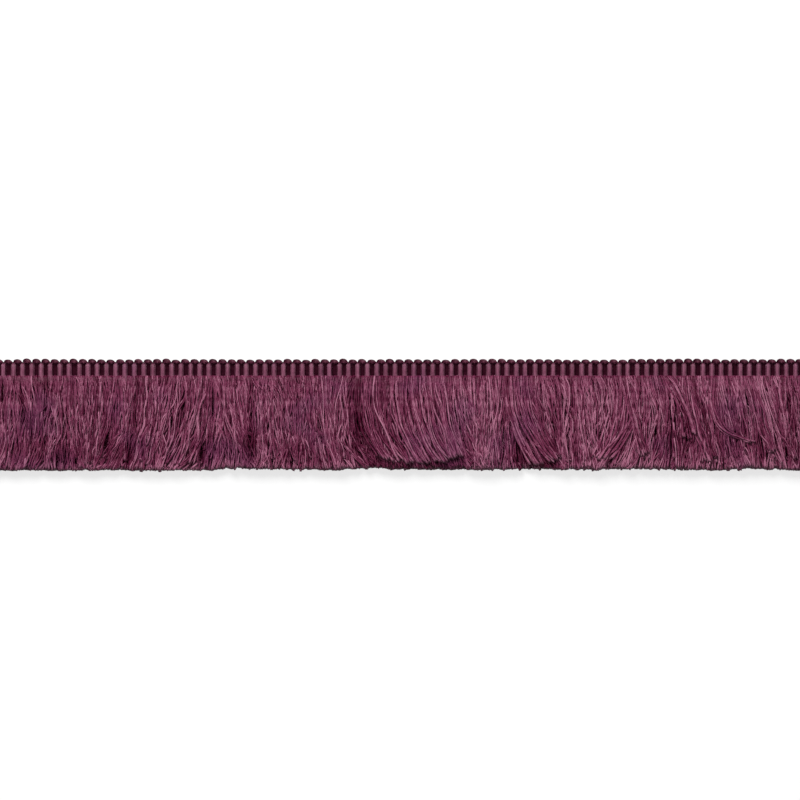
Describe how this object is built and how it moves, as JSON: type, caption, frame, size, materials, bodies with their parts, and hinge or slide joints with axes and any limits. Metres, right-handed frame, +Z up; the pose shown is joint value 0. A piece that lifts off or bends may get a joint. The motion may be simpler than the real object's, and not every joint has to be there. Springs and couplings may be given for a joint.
{
  "type": "brush fringe trim",
  "caption": "Cut length of brush fringe trim: a narrow ribbed heading with a small looped top edge, and a dense skirt of cut yarn that lies flat.",
  "frame": {"origin": "centre of the trim's underside, on the surface that it lies on", "axes": "+X along the trim, +Y from the cut yarn ends towards the looped edge, +Z up through the trim's face"},
  "size_m": [0.2816, 0.038, 0.0051],
  "materials": {
    "heading_yarn": "satin viscose ribs on a dark aubergine ground",
    "loop_yarn": "dark satin yarn loops",
    "skirt_yarn": "lustrous plum cut yarn"
  },
  "bodies": {
    "root": {"heading": "heading_yarn", "loop_edge": "loop_yarn", "skirt": "skirt_yarn"}
  },
  "joints": []
}
